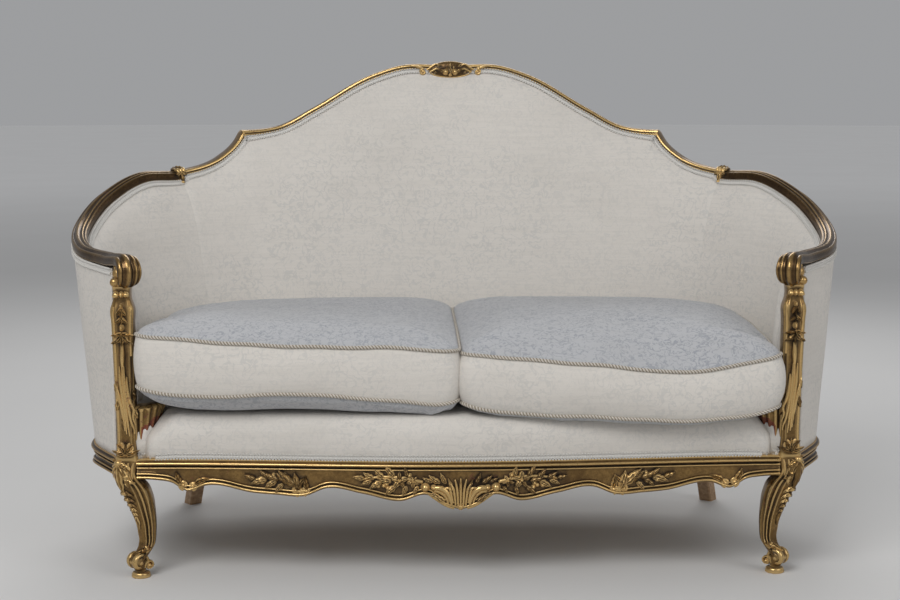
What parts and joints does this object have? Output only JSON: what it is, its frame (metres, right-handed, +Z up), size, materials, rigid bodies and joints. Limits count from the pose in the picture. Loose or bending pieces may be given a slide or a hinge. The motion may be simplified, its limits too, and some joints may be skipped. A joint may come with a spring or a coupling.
{
  "type": "settee",
  "caption": "Carved giltwood settee with a basket-shaped upholstered back, scrolled arms, cabriole legs and loose seat cushions.",
  "frame": {"origin": "on the floor, under the middle of the settee's overall width and depth", "axes": "+X towards the viewer's right along the seat, +Y from the front to the back, +Z up"},
  "size_m": [1.5384, 0.7868, 0.985],
  "materials": {
    "gilt": "carved beech, antique gold leaf rubbed to its brown toning",
    "dark_gilt": "carved beech, dark toned gilding worn to the red ground",
    "beech": "plain beech, waxed brown",
    "damask": "ivory tone-on-tone woven damask",
    "jute": "woven jute",
    "spring_steel": "coppered spring wire"
  },
  "bodies": {
    "frame": {"apron_bloom_left": "gilt", "apron_bloom_right": "gilt", "apron_fan": "gilt", "apron_spray_left": "gilt", "apron_spray_right": "gilt", "arm_post_left": "gilt", "arm_post_right": "gilt", "arm_rail_left": "dark_gilt", "arm_rail_right": "dark_gilt", "arm_tack_rail_left": "beech", "arm_tack_rail_right": "beech", "back_corner_block_left": "beech", "back_corner_block_right": "beech", "back_leg_left": "beech", "back_leg_right": "beech", "back_rail": "beech", "back_tack_rail": "beech", "back_upright_left": "beech", "back_upright_right": "beech", "clasp_left": "gilt", "clasp_right": "gilt", "crest_carving": "gilt", "crest_rail": "gilt", "front_corner_block_left": "beech", "front_corner_block_right": "beech", "front_leg_left": "gilt", "front_leg_right": "gilt", "front_rail": "gilt", "inside_arm_pad_left": "damask", "inside_arm_pad_right": "damask", "inside_back_pad": "damask", "outside_arm_cover_left": "damask", "outside_arm_cover_right": "damask", "outside_back_cover": "damask", "seat_deck": "damask", "seat_hessian": "jute", "seat_spring_01": "spring_steel", "seat_spring_02": "spring_steel", "seat_spring_03": "spring_steel", "seat_spring_04": "spring_steel", "seat_spring_05": "spring_steel", "seat_spring_06": "spring_steel", "seat_spring_07": "spring_steel", "seat_spring_08": "spring_steel", "seat_spring_09": "spring_steel", "seat_spring_10": "spring_steel", "seat_stretcher_left": "beech", "seat_stretcher_right": "beech", "seat_webbing": "jute", "side_rail_left": "dark_gilt", "side_rail_right": "dark_gilt"},
    "cushion_left": {"seat_cushion_left": "damask"},
    "cushion_right": {"seat_cushion_right": "damask"}
  },
  "joints": [
    {"name": "cushion_left_lift", "type": "slide", "parent": "frame", "child": "cushion_left", "axis": [0, 0, 1], "range_m": [0, 0.7]},
    {"name": "cushion_right_lift", "type": "slide", "parent": "frame", "child": "cushion_right", "axis": [0, 0, 1], "range_m": [0, 0.7]}
  ]
}
